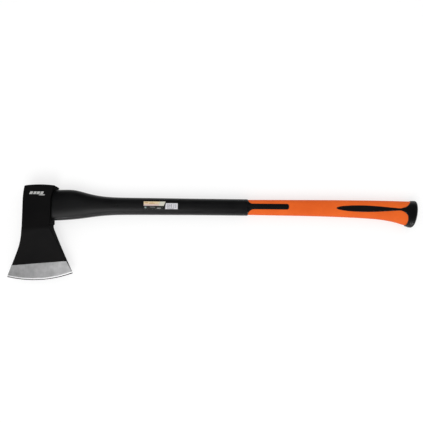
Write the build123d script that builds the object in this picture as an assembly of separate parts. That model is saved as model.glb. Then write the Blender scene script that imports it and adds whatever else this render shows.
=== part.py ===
from build123d import *
import os
from math import atan2, cos, pi, sin

# A long-handled splitting axe that lies on its side.
#
# X runs along the shaft from the head to the knob, Y runs across it towards the poll, and Z is
# the thickness, upwards from the surface that the axe lies on.  While the parts are made, x is 0
# at the toe of the bit, y is 0 on the axis of the shaft and z is 0 on the lower cheek.  At the
# end every part is moved so that the origin is the middle of the bottom of the whole box.

# ------------------------------------------------------------------ driving dimensions, mm
HEAD_THICKNESS = 46.0
MID_Z = HEAD_THICKNESS / 2

# Head, seen from the side.
BACK_X = 33.5  # face of the head that looks away from the knob
BACK_BEND_Y = -42.8  # below this the back face sweeps out to the toe
TOE_SWEEP = (22.5, -100.3)  # where that sweep becomes straight
RIM_X = 94.6  # face of the head round the mouth of the eye
NOTCH_X = 92.4  # side of the blade just below the rim
HEEL_SWEEP = (94.6, -52.2)  # where the side of the blade becomes straight
POLL_BACK = (36.7, 41.8)  # corners of the poll before they are rounded
POLL_RIM = (102.9, 42.4)
POLL_CROWN = (72.0, 44.0)  # highest point of the poll
BEVEL_TOE_SIDE = (9.7, -132.6)  # ends of the straight line where the ground bevel starts
BEVEL_HEEL_SIDE = (129.7, -122.0)
TOE = (0.0, -156.9)
HEEL = (142.5, -147.4)
EDGE_SAGITTA = 10.6  # how far the cutting edge bows out between toe and heel

# Head, half thickness from the bevel line up to the cheeks.
BEVEL_HALF = 5.2
HOLLOW_END = (69.2, 21.5)  # distance above the bevel line, half thickness
HOLLOW_SAG = 2.1  # how far the hollow dips below its chord
CHEEK_START = 77.7  # above this the cheeks are flat
MICRO_WIDTH = 2.2  # the last, steeper bevel beside the edge
MICRO_HALF = 1.0
EDGE_HALF = 0.3
POLL_ROUND = 2.0

# Eye, a tapered oval hole along X.
EYE_Y = 0.9
EYE_MOUTH = (29.2, 12.2)  # half depth and half thickness at the rim
EYE_BACK = (27.2, 11.2)  # the same at the back face
EYE_SQUARENESS = 2.3
BOND_GAP = 1.2  # resin all round the tongue
CAP_RECESS = 1.2  # the resin stops this far below the back face
BOND_CAP = 3.0  # resin over the end of the tongue
DAM_WIDTH = 4.0

# Core rod.
CORE_DEPTH = 24.0
CORE_THICKNESS = 13.0
CORE_END_X = 872.0

# Sections of the handle: x, top y, bottom y, half thickness, squareness of the oval.
SHAFT_SECTIONS = [
    (88.0, 34.7, -33.3, 13.6, 3.0),
    (110.0, 34.9, -32.6, 13.7, 3.0),
    (130.0, 35.2, -31.2, 13.8, 3.0),
    (144.0, 34.2, -29.8, 13.8, 2.95),
    (157.0, 31.4, -28.3, 13.7, 2.85),
    (170.0, 28.0, -26.5, 13.5, 2.75),
    (184.0, 24.8, -24.4, 13.3, 2.7),
    (198.0, 22.3, -22.5, 13.1, 2.65),
    (214.0, 20.5, -20.9, 12.9, 2.65),
    (236.0, 19.4, -19.6, 12.7, 2.7),
    (270.0, 18.9, -18.9, 12.5, 2.8),
    (330.0, 18.8, -18.4, 12.4, 2.8),
    (400.0, 18.4, -18.0, 12.4, 2.8),
    (470.0, 18.3, -17.9, 12.4, 2.8),
    (530.0, 18.3, -18.1, 12.5, 2.8),
]
GRIP_SECTIONS = [
    (500.0, 16.7, -16.0, 11.2, 2.6),
    (555.0, 17.3, -16.6, 11.6, 2.6),
    (610.0, 17.7, -17.0, 12.0, 2.6),
    (662.0, 18.1, -17.5, 12.4, 2.6),
    (714.0, 18.4, -18.6, 12.8, 2.6),
    (766.0, 18.4, -20.4, 13.2, 2.55),
    (794.0, 18.4, -21.9, 13.5, 2.5),
    (820.0, 18.1, -24.3, 13.9, 2.5),
    (846.0, 17.8, -28.9, 14.5, 2.45),
    (866.0, 17.4, -34.6, 15.1, 2.4),
    (882.0, 17.2, -38.4, 15.6, 2.4),
]
SLEEVE_WALL = 2.6  # thickness of the soft grip over the jacket
INLAY_PROUD = 0.5  # the black inlays stand above the soft grip by this much

# Front end of the soft grip, seen from the side.
GRIP_START_X = 524.0
INLAY_END_X = 614.0
INLAY_Y = 1.6
INLAY_HALF = 5.9
INLAY_UPPER_ROOT = 11.0  # radius where the inlay leaves the shaft
INLAY_LOWER_ROOT = 14.0
INLAY_TIP_RADIUS = 4.0

# Spear-shaped inlay that runs into the knob, seen from the side.
SPEAR_TIP_X = 718.5
SPEAR_WIDEST_X = 775.0
SPEAR_WAIST_X = 859.0
SPEAR_HALF = 6.8
WAIST_HALF = 2.1
SPEAR_TIP_Y = -0.2
WAIST_Y = -2.1

# Knob.
KNOB_SECTIONS = [
    (846.0, 18.7, -30.6, 15.6, 2.4),
    (860.0, 18.6, -34.8, 16.1, 2.4),
    (872.0, 18.5, -37.9, 16.6, 2.4),
    (884.0, 18.6, -40.1, 17.0, 2.4),
    (912.0, 18.6, -42.0, 17.2, 2.4),
]
KNOB_TIP = (896.6, 8.0)  # furthest point of the domed, leaning end face
KNOB_DOME_RADIUS = 130.0
KNOB_ROUND = 5.0

PIN_HOLE_X = 235.7
PIN_HOLE_DIAMETER = 3.8

SECTION_STEP = 13.0  # spacing of the ovals that the handle is lofted through

LABEL_THICKNESS = 0.3
PRODUCT_LABEL = [(296.0, 10.0), (344.0, 10.0), (336.6, -7.0), (296.0, -7.0)]
BARCODE_LABEL = [(344.4, 6.6), (370.5, 6.6), (370.5, -6.4), (343.2, -6.4)]

FAR = 100.0  # longer than anything that is cut


# ------------------------------------------------------------------ helpers
def oval_wire(x, top, bottom, half_thickness, squareness, points=20):
    """A closed rounded oval square to X, from the formula of a superellipse."""
    ring = []
    for i in range(points):
        angle = 2 * pi * i / points
        c, s = cos(angle), sin(angle)
        along = abs(c) ** (2 / squareness) * (1 if c >= 0 else -1)
        up = abs(s) ** (2 / squareness) * (1 if s >= 0 else -1)
        y = (top + bottom) / 2 + along * (top - bottom) / 2
        ring.append(Vector(x, y, MID_Z + up * half_thickness))
    return Wire([Edge.make_spline(ring, periodic=True)])


def slope(stations, i, column):
    """Slope of one column at station i, from its neighbours; zero where the run turns."""
    before = stations[max(i - 1, 0)]
    after = stations[min(i + 1, len(stations) - 1)]
    return (after[column] - before[column]) / (after[0] - before[0])


def station_at(stations, x):
    """The section at x, each value on a smooth cubic between the two stations beside x."""
    i = max(k for k in range(len(stations) - 1) if stations[k][0] <= x)
    low, high = stations[i], stations[i + 1]
    width = high[0] - low[0]
    t = (x - low[0]) / width
    values = [x]
    for column in range(1, len(low)):
        rise = (2 * t**3 - 3 * t**2 + 1) * low[column] + (3 * t**2 - 2 * t**3) * high[column]
        rise += (t**3 - 2 * t**2 + t) * width * slope(stations, i, column)
        rise += (t**3 - t**2) * width * slope(stations, i + 1, column)
        values.append(rise)
    return values


def oval_loft(stations, outset=0.0):
    """A smooth solid through evenly spaced ovals, which keeps the loft from waving."""
    start, end = stations[0][0], stations[-1][0]
    count = round((end - start) / SECTION_STEP)
    wires = []
    for i in range(count + 1):
        x, top, bottom, half, square = station_at(stations, start + (end - start) * i / count)
        wires.append(oval_wire(x, top + outset, bottom - outset, half + outset, square))
    return Solid.make_loft(wires)


def plate(face):
    """A flat XY face pulled through the whole thickness."""
    return Solid.extrude(face.moved(Location((0, 0, -FAR))), Vector(0, 0, 2 * FAR + MID_Z))


def closed_face(*edges):
    return Face(Wire(list(edges)))


def line(a, b):
    return Edge.make_line(Vector(*a), Vector(*b))


def arc(a, through, b):
    return Edge.make_three_point_arc(Vector(*a), Vector(*through), Vector(*b))


def tangent_arc(a, direction, b):
    return Edge.make_tangent_arc(Vector(*a), Vector(*direction), Vector(*b))


def bowed(a, b, sagitta):
    """The middle point of an arc from a to b that bows out to the right of that direction."""
    along = Vector(b[0] - a[0], b[1] - a[1])
    right = Vector(along.Y, -along.X).normalized()
    return ((a[0] + b[0]) / 2 + right.X * sagitta, (a[1] + b[1]) / 2 + right.Y * sagitta)


def one_solid(shape):
    solids = shape.solids()
    assert len(solids) == 1, f"{len(solids)} solids"
    return solids[0]


# ------------------------------------------------------------------ head
def head_plan():
    """Outline of the head above the bevel line, seen from the side."""
    sweep = Vector(TOE_SWEEP[0] - BEVEL_TOE_SIDE[0], TOE_SWEEP[1] - BEVEL_TOE_SIDE[1])
    rim_top, rim_bottom = (RIM_X, 8.0), (RIM_X, -40.6)
    notch_top, notch_bottom = (NOTCH_X, -42.0), (NOTCH_X, -43.0)
    face = closed_face(
        line(BEVEL_TOE_SIDE, TOE_SWEEP),
        tangent_arc(TOE_SWEEP, (sweep.X, sweep.Y), (BACK_X, BACK_BEND_Y)),
        line((BACK_X, BACK_BEND_Y), (BACK_X, 8.0)),
        tangent_arc((BACK_X, 8.0), (0, 1), POLL_BACK),
        arc(POLL_BACK, POLL_CROWN, POLL_RIM),
        tangent_arc(rim_top, (0, 1), POLL_RIM),
        line(rim_top, rim_bottom),
        line(rim_bottom, notch_top),
        line(notch_top, notch_bottom),
        tangent_arc(notch_bottom, (0, -1), HEEL_SWEEP),
        line(HEEL_SWEEP, BEVEL_HEEL_SIDE),
        line(BEVEL_HEEL_SIDE, BEVEL_TOE_SIDE),
    )
    for corner, radius in ((POLL_BACK, 2.8), (POLL_RIM, 2.8), (rim_bottom, 1.2)):
        at = Vector(*corner)
        face = face.fillet_2d(radius, [min(face.vertices(), key=lambda v: (Vector(*v) - at).length)])
    return face


def head_slab():
    """Everything within the thickness of the head, its hollow following the bevel line."""
    tilt = atan2(BEVEL_HEEL_SIDE[1] - BEVEL_TOE_SIDE[1], BEVEL_HEEL_SIDE[0] - BEVEL_TOE_SIDE[0])
    half = HEAD_THICKNESS / 2
    hollow_middle = (HOLLOW_END[0] / 2, (BEVEL_HALF + HOLLOW_END[1]) / 2 - HOLLOW_SAG)
    shoulder = ((HOLLOW_END[0] + CHEEK_START) / 2, half - 0.38)
    upper = [
        arc((0, BEVEL_HALF), hollow_middle, HOLLOW_END),
        arc(HOLLOW_END, shoulder, (CHEEK_START, half)),
        line((CHEEK_START, half), (2 * FAR, half)),
    ]
    lower = [edge.mirror(Plane.XZ) for edge in upper]
    ends = [
        line((0, BEVEL_HALF), (0, -BEVEL_HALF)),
        line((2 * FAR, half), (2 * FAR, -half)),
    ]
    section = Plane(
        origin=(*BEVEL_TOE_SIDE, MID_Z),
        x_dir=(-sin(tilt), cos(tilt), 0),
        z_dir=(cos(tilt), sin(tilt), 0),
    )
    face = section * closed_face(*upper, *lower, *ends)
    along = section.z_dir
    return Solid.extrude(face.moved(Location(along * -FAR)), along * (3 * FAR))


def inset_corner(corner, towards):
    """A point MICRO_WIDTH up the side of the blade from a corner of the cutting edge."""
    side = Vector(towards[0] - corner[0], towards[1] - corner[1]).normalized()
    return (corner[0] + side.X * MICRO_WIDTH, corner[1] + side.Y * MICRO_WIDTH)


def bevel_wedge():
    """Ground end of the blade, from the straight bevel line to the bowed cutting edge."""
    toe_in = inset_corner(TOE, BEVEL_TOE_SIDE)
    heel_in = inset_corner(HEEL, BEVEL_HEEL_SIDE)

    def at(point, half):
        return (point[0], point[1], MID_Z + half)

    def edge_arc(a, b, half):
        return arc(at(a, half), at(bowed(a, b, EDGE_SAGITTA), half), at(b, half))

    faces = []
    for sign in (1, -1):
        bevel = line(at(BEVEL_TOE_SIDE, sign * BEVEL_HALF), at(BEVEL_HEEL_SIDE, sign * BEVEL_HALF))
        micro = edge_arc(toe_in, heel_in, sign * MICRO_HALF)
        edge = edge_arc(TOE, HEEL, sign * EDGE_HALF)
        faces.append(Face.make_surface_from_curves(bevel, micro))
        faces.append(Face.make_surface_from_curves(micro, edge))
    faces.append(
        Face.make_surface_from_curves(
            edge_arc(TOE, HEEL, EDGE_HALF), edge_arc(TOE, HEEL, -EDGE_HALF)
        )
    )
    for corner, inner, outer in (
        (BEVEL_TOE_SIDE, toe_in, TOE),
        (BEVEL_HEEL_SIDE, heel_in, HEEL),
    ):
        half_ring = [at(corner, BEVEL_HALF), at(inner, MICRO_HALF), at(outer, EDGE_HALF)]
        half_ring += [at(outer, -EDGE_HALF), at(inner, -MICRO_HALF), at(corner, -BEVEL_HALF)]
        faces.append(Face(Wire.make_polygon([Vector(*p) for p in half_ring], close=True)))
    back = [at(BEVEL_TOE_SIDE, BEVEL_HALF), at(BEVEL_HEEL_SIDE, BEVEL_HALF)]
    back += [at(BEVEL_HEEL_SIDE, -BEVEL_HALF), at(BEVEL_TOE_SIDE, -BEVEL_HALF)]
    faces.append(Face(Wire.make_polygon([Vector(*p) for p in back], close=True)))
    return Solid(Shell(faces))


def head_blank():
    """The forging before its eye is punched."""
    upper = one_solid(plate(head_plan()) & head_slab())
    poll_edges = [
        edge
        for edge in upper.edges()
        if edge.center().Y > POLL_CROWN[1] - 6 and abs(edge.tangent_at(0.5).Z) < 0.1
    ]
    return one_solid(upper.fillet(POLL_ROUND, poll_edges) + bevel_wedge())


def between(x_start, x_end):
    """A block that holds everything between two stations along X."""
    return Pos((x_start + x_end) / 2, 0, MID_Z) * Box(x_end - x_start, 4 * FAR, 2 * FAR)


def eye_loft(inset=0.0):
    """The tapered oval of the eye, longer than the head at both ends."""
    wires = []
    for x in (BACK_X - 20, RIM_X + 30):
        share = (x - BACK_X) / (RIM_X - BACK_X)
        depth = EYE_BACK[0] + share * (EYE_MOUTH[0] - EYE_BACK[0]) - inset
        half = EYE_BACK[1] + share * (EYE_MOUTH[1] - EYE_BACK[1]) - inset
        wires.append(oval_wire(x, EYE_Y + depth, EYE_Y - depth, half, EYE_SQUARENESS))
    return Solid.make_loft(wires, ruled=True)


def make_axe_head(blank):
    return one_solid(blank - eye_loft())


# ------------------------------------------------------------------ handle
def spear_half(x):
    """Half width of the spear-shaped inlay."""
    if x < SPEAR_WIDEST_X:
        t = (SPEAR_WIDEST_X - x) / (SPEAR_WIDEST_X - SPEAR_TIP_X)
        return SPEAR_HALF * max(0.0, 1 - t * t) ** 0.5
    t = (x - SPEAR_WIDEST_X) / (SPEAR_WAIST_X - SPEAR_WIDEST_X)
    return WAIST_HALF + (SPEAR_HALF - WAIST_HALF) * (1 - t * t) ** 1.5


def spear_middle(x):
    share = (x - SPEAR_TIP_X) / (SPEAR_WAIST_X - SPEAR_TIP_X)
    return SPEAR_TIP_Y + share * (WAIST_Y - SPEAR_TIP_Y)


def front_black_plan():
    """The black shaft and the straight inlay that reaches into the soft grip."""
    shaft = Pos(GRIP_START_X - 3 * FAR, 0) * Rectangle(6 * FAR, 2 * FAR)
    reach = INLAY_END_X - GRIP_START_X + 20
    inlay = Pos(INLAY_END_X - reach / 2, INLAY_Y) * Rectangle(reach, 2 * INLAY_HALF)
    both = shaft + inlay
    for y, radius in ((INLAY_Y + INLAY_HALF, INLAY_UPPER_ROOT), (INLAY_Y - INLAY_HALF, INLAY_LOWER_ROOT)):
        root = Vector(GRIP_START_X, y)
        both = fillet(min(both.vertices(), key=lambda v: (Vector(*v) - root).length), radius)
    tips = both.vertices().filter_by(lambda v: abs(v.X - INLAY_END_X) < 1)
    return fillet(tips, INLAY_TIP_RADIUS).face()


def knob_black_plan():
    """The spear-shaped inlay, its waist and the ground of the knob."""
    nose_steps, tail_steps = 6, 5
    xs = []
    for i in range(1, nose_steps + 1):
        share = 1 - cos(pi / 2 * i / nose_steps)
        xs.append(SPEAR_TIP_X + share * (SPEAR_WIDEST_X - SPEAR_TIP_X))
    for i in range(1, tail_steps + 1):
        xs.append(SPEAR_WIDEST_X + i / tail_steps * (SPEAR_WAIST_X - SPEAR_WIDEST_X))
    upper = [Vector(x, spear_middle(x) + spear_half(x)) for x in reversed(xs)]
    lower = [Vector(x, spear_middle(x) - spear_half(x)) for x in xs]
    tip = Vector(SPEAR_TIP_X, SPEAR_TIP_Y)
    waist_top, waist_bottom = upper[0], lower[-1]
    spear = Edge.make_spline([*upper, tip, *lower])
    to_top = [waist_top, (869.5, 3.2), (874.5, 6.6), (878.8, 11.4), (882.2, 16.8), (886.0, 26.0)]
    to_bottom = [waist_bottom, (865.1, -6.6), (870.0, -10.4), (873.6, -15.4), (874.4, -22.0)]
    to_bottom += [(873.4, -30.0), (869.0, -38.3), (858.0, -52.0)]
    top_end, bottom_end = to_top[-1], to_bottom[-1]
    return closed_face(
        spear,
        Edge.make_spline([Vector(*p) for p in to_top]),
        line(top_end, (940.0, 26.0)),
        line((940.0, 26.0), (940.0, -52.0)),
        line((940.0, -52.0), bottom_end),
        Edge.make_spline([Vector(*p) for p in to_bottom]),
    )


def knob_block():
    """The knob before its front is cut to the outline of the soft grip."""
    centre = Location((KNOB_TIP[0] - KNOB_DOME_RADIUS, KNOB_TIP[1], MID_Z))
    dome = Cylinder(KNOB_DOME_RADIUS, 2 * FAR).moved(centre)
    block = one_solid(oval_loft(KNOB_SECTIONS) & dome)
    rim = [edge for edge in block.edges() if edge.center().X > KNOB_SECTIONS[-2][0]]
    return one_solid(block.fillet(KNOB_ROUND, rim))


def make_core_rod():
    start = BACK_X + CAP_RECESS + BOND_CAP
    section = Plane(origin=(start, 0, MID_Z), x_dir=(0, 1, 0), z_dir=(1, 0, 0))
    return one_solid(
        extrude(section * SlotOverall(CORE_DEPTH, CORE_THICKNESS), amount=CORE_END_X - start)
    )


def make_jacket(blank, core):
    """Tongue, swell, shaft, inlays and knob in one moulding round the core rod."""
    front_plan = plate(front_black_plan())
    knob_plan = plate(knob_black_plan())
    tongue = eye_loft(BOND_GAP) & between(BACK_X + CAP_RECESS + BOND_CAP, RIM_X + 14)
    shaft = (oval_loft(SHAFT_SECTIONS) - blank) & front_plan
    under_grip = oval_loft(GRIP_SECTIONS, -SLEEVE_WALL)
    raised = oval_loft(GRIP_SECTIONS, INLAY_PROUD)
    jacket = tongue + shaft + under_grip + (raised & front_plan) + (raised & knob_plan)
    jacket = one_solid(jacket + (knob_block() & knob_plan))
    pin = Cylinder(PIN_HOLE_DIAMETER / 2, 2 * FAR).moved(Location((PIN_HOLE_X, 0, MID_Z)))
    return one_solid(jacket - core - pin)


def make_grip_sleeve():
    """The soft grip, a sleeve over the jacket with windows for the inlays."""
    outer = oval_loft(GRIP_SECTIONS) - plate(front_black_plan()) - plate(knob_black_plan())
    return one_solid(outer - oval_loft(GRIP_SECTIONS, -SLEEVE_WALL))


def make_eye_epoxy():
    """Resin round the tongue and over its end."""
    cap_start = BACK_X + CAP_RECESS
    filled = eye_loft() & between(cap_start, RIM_X - DAM_WIDTH)
    tongue = eye_loft(BOND_GAP) & between(cap_start + BOND_CAP, RIM_X)
    return one_solid(filled - tongue)


def make_resin_dam():
    """A ring round the tongue at the mouth of the eye."""
    return one_solid((eye_loft() - eye_loft(BOND_GAP)) & between(RIM_X - DAM_WIDTH, RIM_X))


def make_label(outline):
    """A sticker that follows the upper side of the shaft."""
    points = [Vector(*p) for p in outline]
    face = Face(Wire.make_polygon(points, close=True))
    above = Solid.extrude(face.moved(Location((0, 0, MID_Z))), Vector(0, 0, FAR))
    skin = oval_loft(SHAFT_SECTIONS, LABEL_THICKNESS) - oval_loft(SHAFT_SECTIONS)
    return one_solid(skin & above)


# ------------------------------------------------------------------ the whole axe
def make_all():
    blank = head_blank()
    core = make_core_rod()
    jacket = make_jacket(blank, core)
    return {
        "axe_head": make_axe_head(blank),
        "core_rod": core,
        "handle_jacket": jacket,
        "grip_sleeve": make_grip_sleeve(),
        "eye_epoxy": make_eye_epoxy(),
        "resin_dam": make_resin_dam(),
        "product_label": make_label(PRODUCT_LABEL),
        "barcode_label": make_label(BARCODE_LABEL),
    }


def main():
    parts = make_all()
    whole = Compound(list(parts.values())).bounding_box()
    origin = Vector((whole.min.X + whole.max.X) / 2, (whole.min.Y + whole.max.Y) / 2, whole.min.Z)
    print(f"origin at {origin.X:.3f} {origin.Y:.3f} {origin.Z:.3f}, size {whole.size}")
    os.makedirs("parts", exist_ok=True)
    for name, solid in parts.items():
        export_step(solid.moved(Location(-origin)), f"parts/{name}.step")


main()
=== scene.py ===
from math import atan2, cos, pi, radians, sin, sqrt

import bmesh
import bpy
from mathutils import Matrix, Vector


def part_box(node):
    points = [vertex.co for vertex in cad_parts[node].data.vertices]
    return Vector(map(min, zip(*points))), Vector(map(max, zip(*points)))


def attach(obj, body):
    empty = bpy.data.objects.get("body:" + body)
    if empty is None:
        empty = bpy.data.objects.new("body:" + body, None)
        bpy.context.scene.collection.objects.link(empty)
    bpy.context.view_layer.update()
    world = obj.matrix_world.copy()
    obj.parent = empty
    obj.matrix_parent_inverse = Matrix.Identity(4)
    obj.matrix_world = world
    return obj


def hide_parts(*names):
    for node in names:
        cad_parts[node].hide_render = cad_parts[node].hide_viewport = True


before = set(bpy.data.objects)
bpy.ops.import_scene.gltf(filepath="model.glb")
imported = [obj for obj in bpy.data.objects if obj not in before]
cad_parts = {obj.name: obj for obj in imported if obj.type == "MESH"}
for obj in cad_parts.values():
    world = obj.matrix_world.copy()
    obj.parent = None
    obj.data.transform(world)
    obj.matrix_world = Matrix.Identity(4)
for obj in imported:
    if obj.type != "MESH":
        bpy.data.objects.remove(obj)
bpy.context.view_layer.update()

# ------------------------------------------------------------------ where things are
# Shapes are given in millimetres from the toe of the bit (x), the shaft axis (y) and the
# lower cheek (z), and place() moves them into the shared frame.
head_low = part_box("axe_head")[0]
core_low, core_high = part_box("core_rod")
ORIGIN = Vector((head_low.x, (core_low.y + core_high.y) / 2, head_low.z))
MID = (core_low.z + core_high.z) * 500 - head_low.z * 1000


def place(x, y, z):
    return ORIGIN + Vector((x, y, z)) / 1000


# ------------------------------------------------------------------ dimensions, mm
# Outline of the head, its thickness, the cutting edge and the eye.
BACK_X, BACK_BEND_Y, TOE_SWEEP = 33.5, -42.8, (22.5, -100.3)
RIM_X, NOTCH_X, HEEL_SWEEP = 94.6, 92.4, (94.6, -52.2)
POLL_BACK, POLL_RIM, POLL_BOW, POLL_CORNER = (36.7, 41.8), (102.9, 42.4), 2.0, 2.7
BEVEL_TOE_SIDE, BEVEL_HEEL_SIDE = (9.7, -132.6), (129.7, -122.0)
TOE, HEEL, EDGE_SAGITTA = (0.0, -156.9), (142.5, -147.4), 10.6
BEVEL_HALF, HOLLOW_END, HOLLOW_SAG, CHEEK_START = 5.2, (69.2, 21.5), 2.1, 77.7
EDGE_HALF, NOSE_HALF, MICRO_HALF = 0.3, 0.7, 1.2
NOSE_REACH, NOSE_WIDTH, MICRO_WIDTH = 0.8, 1.1, 3.4
EYE_Y, EYE_MOUTH, EYE_BACK = 0.9, (29.2, 12.2), (27.2, 11.2)
# Sections of the handle: x, top y, bottom y, half thickness, squareness of the oval.
SHAFT = [
    (88.0, 34.7, -33.3, 13.6, 3.0),
    (110.0, 34.9, -32.6, 13.7, 3.0),
    (130.0, 35.2, -31.2, 13.8, 3.0),
    (144.0, 34.2, -29.8, 13.8, 2.95),
    (157.0, 31.4, -28.3, 13.7, 2.85),
    (170.0, 28.0, -26.5, 13.5, 2.75),
    (184.0, 24.8, -24.4, 13.3, 2.7),
    (198.0, 22.3, -22.5, 13.1, 2.65),
    (214.0, 20.5, -20.9, 12.9, 2.65),
    (236.0, 19.4, -19.6, 12.7, 2.7),
    (270.0, 18.9, -18.9, 12.5, 2.8),
    (330.0, 18.8, -18.4, 12.4, 2.8),
    (400.0, 18.4, -18.0, 12.4, 2.8),
    (470.0, 18.3, -17.9, 12.4, 2.8),
    (530.0, 18.3, -18.1, 12.5, 2.8),
]
GRIP = [
    (500.0, 16.7, -16.0, 11.2, 2.6),
    (555.0, 17.3, -16.6, 11.6, 2.6),
    (610.0, 17.7, -17.0, 12.0, 2.6),
    (662.0, 18.1, -17.5, 12.4, 2.6),
    (714.0, 18.4, -18.6, 12.8, 2.6),
    (766.0, 18.4, -20.4, 13.2, 2.55),
    (794.0, 18.4, -21.9, 13.5, 2.5),
    (820.0, 18.1, -24.3, 13.9, 2.5),
    (846.0, 17.8, -28.9, 14.5, 2.45),
    (866.0, 17.4, -34.6, 15.1, 2.4),
    (882.0, 17.2, -38.4, 15.6, 2.4),
]
KNOB = [
    (846.0, 18.7, -30.6, 15.6, 2.4),
    (860.0, 18.6, -34.8, 16.1, 2.4),
    (872.0, 18.5, -37.9, 16.6, 2.4),
    (884.0, 18.6, -40.1, 17.0, 2.4),
    (912.0, 18.6, -42.0, 17.2, 2.4),
]
# Where the shaft steps down into its inlay, and where the spear swells into the domed knob.
SHAFT_STEP, REAR_START, KNOB_SWELL, DOME_TURN = (522.6, 525.4), 700.0, (853.0, 862.0), (868.0, 893.0)
SLEEVE_WALL, INLAY_PROUD, GROOVE = 2.6, 0.5, 0.35
GRIP_START, INLAY_END, INLAY_Y, INLAY_HALF = 524.0, 614.0, 1.6, 5.9
UPPER_ROOT, LOWER_ROOT, TIP_RADIUS = 11.0, 14.0, 4.0
SPEAR_TIP, SPEAR_WIDEST, SPEAR_WAIST = 718.5, 775.0, 859.0
SPEAR_HALF, WAIST_HALF, SPEAR_TIP_Y, WAIST_Y = 6.8, 2.1, -0.2, -2.1
KNOB_TIP, DOME_RADIUS, KNOB_ROUND = (896.6, 8.0), 130.0, 5.0
KNOB_HALF = 17.0
# The borders of the knob on the grip, from the waist of the spear outwards.
KNOB_UPPER_EDGE = [(869.5, 3.2), (874.5, 6.6), (878.8, 11.4), (882.2, 16.8), (886.0, 26.0)]
KNOB_LOWER_EDGE = [
    (865.1, -6.6), (870.0, -10.4), (873.6, -15.4), (874.4, -22.0),
    (873.4, -30.0), (869.0, -38.3), (858.0, -52.0),
]
# The pin hole, the resin bond and the ends of the soft grip.
PIN_X, PIN_RADIUS, PIN_FLOOR = 235.7, 1.9, 7.0
TONGUE_START, TONGUE_END, RESIN_GAP = 37.8, 95.5, 1.2
RESIN_BACK, RESIN_MOUTH, EYE_CLEARANCE = 34.4, 90.4, 0.03
CORE_START, CORE_END = 505.0, 881.0  # the jacket under the soft grip
SLEEVE_START, SLEEVE_END, LIP_DROP, LIP_LENGTH = 524.3, 881.0, 0.9, 1.3
PRODUCT_X, PRODUCT_Y, PRODUCT_LEAN = (296.0, 336.6), (-7.0, 10.0), 7.4
BARCODE_X, BARCODE_Y, BARCODE_LEAN = (343.2, 370.5), (-6.4, 6.6), 1.2
FILM_TOP, FILM_FOOT = 0.22, 0.02
AROUND = 112  # points round the handle
COLUMNS, WALL = 72, 14  # quads across a cheek and up a side of the head


# ------------------------------------------------------------------ materials
def linear(r, g, b):
    """Screen colour, 0 to 255, as linear light."""
    return tuple((c / 255 / 12.92) if c <= 10 else ((c / 255 + 0.055) / 1.055) ** 2.4 for c in (r, g, b))


class Tree:
    """A short way to write a material's nodes."""

    def __init__(self, name):
        self.material = bpy.data.materials.new(name)
        self.material.use_nodes = True
        self.nodes = self.material.node_tree.nodes
        self.links = self.material.node_tree.links
        self.shader = self.nodes["Principled BSDF"]
        coords = self.nodes.new("ShaderNodeTexCoord")
        self.where = coords.outputs["Object"]

    def link(self, a, b):
        self.links.new(a, b)

    def scaled(self, scale):
        node = self.nodes.new("ShaderNodeMapping")
        node.inputs["Scale"].default_value = scale
        self.link(self.where, node.inputs["Vector"])
        return node.outputs["Vector"]

    def noise(self, scale, detail=3.0, rough=0.55, stretch=(1, 1, 1)):
        node = self.nodes.new("ShaderNodeTexNoise")
        node.inputs["Scale"].default_value = scale
        node.inputs["Detail"].default_value = detail
        node.inputs["Roughness"].default_value = rough
        self.link(self.scaled(stretch), node.inputs["Vector"])
        return node.outputs["Fac"]

    def spread(self, fac, a, b, low=0.3, high=0.7):
        """fac from low to high becomes a to b."""
        node = self.nodes.new("ShaderNodeMapRange")
        for name, value in zip(("From Min", "From Max", "To Min", "To Max"), (low, high, a, b)):
            node.inputs[name].default_value = value
        self.link(fac, node.inputs["Value"])
        return node.outputs["Result"]

    def blend(self, fac, a, b):
        """Colour a where fac is 0 and b where it is 1; each is a colour or a socket."""
        node = self.nodes.new("ShaderNodeMix")
        node.data_type = "RGBA"
        self.link(fac, node.inputs["Factor"])
        for name, value in (("A", a), ("B", b)):
            socket = [s for s in node.inputs if s.name == name and s.type == "RGBA"][0]
            if isinstance(value, tuple):
                socket.default_value = (*value, 1.0)
            else:
                self.link(value, socket)
        return [s for s in node.outputs if s.type == "RGBA"][0]

    def add(self, a, b, operation="ADD"):
        node = self.nodes.new("ShaderNodeMath")
        node.operation = operation
        self.link(a, node.inputs[0])
        if isinstance(b, float):
            node.inputs[1].default_value = b
        else:
            self.link(b, node.inputs[1])
        return node.outputs["Value"]

    def bump(self, height, distance, strength=1.0):
        node = self.nodes.new("ShaderNodeBump")
        node.inputs["Strength"].default_value = strength
        node.inputs["Distance"].default_value = distance
        self.link(height, node.inputs["Height"])
        self.link(node.outputs["Normal"], self.shader.inputs["Normal"])

    def edges(self, start=0.53, end=0.62):
        """About 1 on sharp convex edges, 0 elsewhere."""
        node = self.nodes.new("ShaderNodeNewGeometry")
        return self.spread(node.outputs["Pointiness"], 0.0, 1.0, start, end)

    def set(self, **values):
        names = {
            "colour": "Base Color", "metallic": "Metallic", "roughness": "Roughness",
            "specular": "Specular IOR Level", "glow": "Emission Strength",
        }
        for key, value in values.items():
            socket = self.shader.inputs[names[key]]
            if isinstance(value, bpy.types.NodeSocket):
                self.link(value, socket)
            elif isinstance(value, tuple):
                socket.default_value = (*value, 1.0)
            else:
                socket.default_value = value
        return self.material


def head_paint():
    t = Tree("black_head_paint")
    cloud = t.noise(14, 4)
    grain = t.noise(900, 2)
    # Sharp edges turn lighter grey in patches: partly worn paint, partly a painted highlight along the
    # edges.
    edge_wear_and_highlight = t.add(t.edges(), t.spread(t.noise(160, 3), 0.0, 1.0, 0.5, 0.68), "MULTIPLY")
    paint = t.blend(t.spread(cloud, 0.0, 1.0), linear(6, 6, 7), linear(11, 10, 10))
    t.bump(grain, 0.00012, 0.35)
    return t.set(
        colour=t.blend(edge_wear_and_highlight, paint, linear(48, 48, 50)),
        roughness=t.spread(t.noise(60, 3), 0.44, 0.52),
        specular=0.11,
    )


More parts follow.
